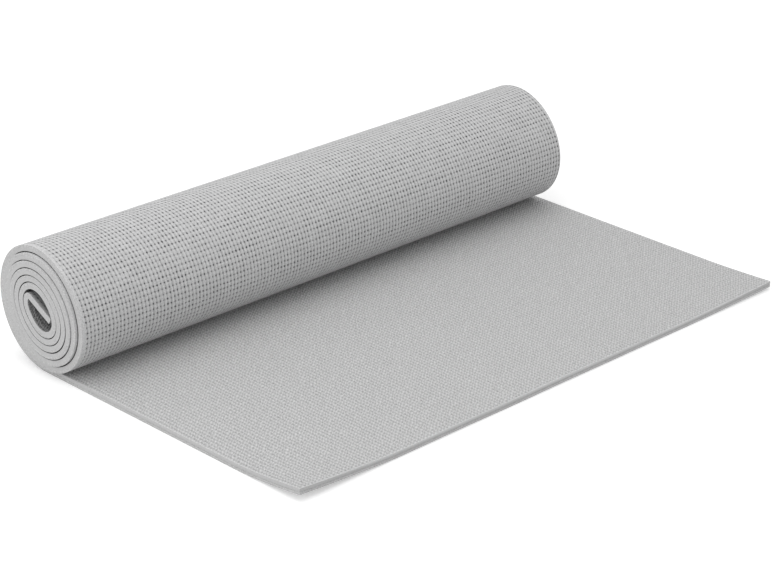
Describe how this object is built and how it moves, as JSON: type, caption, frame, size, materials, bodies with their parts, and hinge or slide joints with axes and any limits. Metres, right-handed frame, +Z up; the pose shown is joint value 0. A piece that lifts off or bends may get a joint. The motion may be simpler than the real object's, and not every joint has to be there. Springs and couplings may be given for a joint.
{
  "type": "yoga mat",
  "caption": "Foam exercise mat with a waffle-textured back, mostly wound into a roll, its free end lying flat and its inner end folded back in the core.",
  "frame": {"origin": "middle of the footprint, on the floor", "axes": "+X runs out along the flat stretch, away from the roll; +Y along the roll's axis, away from the end where the turns stand proud; +Z up"},
  "size_m": [0.3774, 0.6184, 0.1165],
  "materials": {
    "face_foam": "matt closed-cell foam skin with a fine pebbled emboss, light grey",
    "scrim": "open net of matt grey yarn, buried between the foams",
    "back_foam": "matt open waffle of raised pads and small round holes, light grey"
  },
  "bodies": {
    "roll": {"face_foam_roll": "face_foam", "scrim_roll": "scrim", "back_foam_roll": "back_foam"},
    "panel_01": {"face_foam_panel_01": "face_foam", "scrim_panel_01": "scrim", "back_foam_panel_01": "back_foam"},
    "panel_02": {"face_foam_panel_02": "face_foam", "scrim_panel_02": "scrim", "back_foam_panel_02": "back_foam"},
    "panel_03": {"face_foam_panel_03": "face_foam", "scrim_panel_03": "scrim", "back_foam_panel_03": "back_foam"},
    "panel_04": {"face_foam_panel_04": "face_foam", "scrim_panel_04": "scrim", "back_foam_panel_04": "back_foam"},
    "panel_05": {"face_foam_panel_05": "face_foam", "scrim_panel_05": "scrim", "back_foam_panel_05": "back_foam"},
    "panel_06": {"face_foam_panel_06": "face_foam", "scrim_panel_06": "scrim", "back_foam_panel_06": "back_foam"},
    "panel_07": {"face_foam_panel_07": "face_foam", "scrim_panel_07": "scrim", "back_foam_panel_07": "back_foam"},
    "panel_08": {"face_foam_panel_08": "face_foam", "scrim_panel_08": "scrim", "back_foam_panel_08": "back_foam"},
    "panel_09": {"face_foam_panel_09": "face_foam", "scrim_panel_09": "scrim", "back_foam_panel_09": "back_foam"},
    "panel_10": {"face_foam_panel_10": "face_foam", "scrim_panel_10": "scrim", "back_foam_panel_10": "back_foam"},
    "panel_11": {"face_foam_panel_11": "face_foam", "scrim_panel_11": "scrim", "back_foam_panel_11": "back_foam"},
    "panel_12": {"face_foam_panel_12": "face_foam", "scrim_panel_12": "scrim", "back_foam_panel_12": "back_foam"},
    "inner_end": {"face_foam_inner_end": "face_foam", "scrim_inner_end": "scrim", "back_foam_inner_end": "back_foam"}
  },
  "joints": [
    {"name": "hinge_01", "type": "hinge", "parent": "roll", "child": "panel_01", "pos_m": [-0.10952, 0, 0.006], "axis": [0, -1, 0], "range_deg": [0, 23.8]},
    {"name": "hinge_02", "type": "hinge", "parent": "panel_01", "child": "panel_02", "pos_m": [-0.08465, 0, 0.006], "axis": [0, -1, 0], "range_deg": [0, 39.2]},
    {"name": "hinge_03", "type": "hinge", "parent": "panel_02", "child": "panel_03", "pos_m": [-0.05978, 0, 0.006], "axis": [0, -1, 0], "range_deg": [0, 33.2]},
    {"name": "hinge_04", "type": "hinge", "parent": "panel_03", "child": "panel_04", "pos_m": [-0.03492, 0, 0.006], "axis": [0, -1, 0], "range_deg": [0, 30.8]},
    {"name": "hinge_05", "type": "hinge", "parent": "panel_04", "child": "panel_05", "pos_m": [-0.01005, 0, 0.006], "axis": [0, -1, 0], "range_deg": [0, 26.4]},
    {"name": "hinge_06", "type": "hinge", "parent": "panel_05", "child": "panel_06", "pos_m": [0.01482, 0, 0.006], "axis": [0, -1, 0], "range_deg": [0, 24.5]},
    {"name": "hinge_07", "type": "hinge", "parent": "panel_06", "child": "panel_07", "pos_m": [0.03968, 0, 0.006], "axis": [0, -1, 0], "range_deg": [0, 26]},
    {"name": "hinge_08", "type": "hinge", "parent": "panel_07", "child": "panel_08", "pos_m": [0.06455, 0, 0.006], "axis": [0, -1, 0], "range_deg": [0, 28.6]},
    {"name": "hinge_09", "type": "hinge", "parent": "panel_08", "child": "panel_09", "pos_m": [0.08942, 0, 0.006], "axis": [0, -1, 0], "range_deg": [0, 31.2]},
    {"name": "hinge_10", "type": "hinge", "parent": "panel_09", "child": "panel_10", "pos_m": [0.11429, 0, 0.006], "axis": [0, -1, 0], "range_deg": [0, 29]},
    {"name": "hinge_11", "type": "hinge", "parent": "panel_10", "child": "panel_11", "pos_m": [0.13915, 0, 0.006], "axis": [0, -1, 0], "range_deg": [0, 27]},
    {"name": "hinge_12", "type": "hinge", "parent": "panel_11", "child": "panel_12", "pos_m": [0.16402, 0, 0.006], "axis": [0, -1, 0], "range_deg": [0, 25.8]},
    {"name": "inner_end_hinge", "type": "hinge", "parent": "roll", "child": "inner_end", "pos_m": [-0.13966, 0, 0.0692], "axis": [0, 1, 0], "range_deg": [0, 24], "stiffness_Nm_per_rad": 0.05, "springref_deg": -8.59}
  ],
  "couplings": [
    {"joint": "hinge_02", "follows": "hinge_01", "ratio": 1.3193},
    {"joint": "hinge_03", "follows": "hinge_01", "ratio": 1.1177},
    {"joint": "hinge_04", "follows": "hinge_01", "ratio": 1.0336},
    {"joint": "hinge_05", "follows": "hinge_01", "ratio": 0.88655},
    {"joint": "hinge_06", "follows": "hinge_01", "ratio": 0.82353},
    {"joint": "hinge_07", "follows": "hinge_01", "ratio": 0.87395},
    {"joint": "hinge_08", "follows": "hinge_01", "ratio": 0.96218},
    {"joint": "hinge_09", "follows": "hinge_01", "ratio": 1.0504},
    {"joint": "hinge_10", "follows": "hinge_01", "ratio": 0.97479},
    {"joint": "hinge_11", "follows": "hinge_01", "ratio": 0.90756},
    {"joint": "hinge_12", "follows": "hinge_01", "ratio": 0.86555}
  ]
}
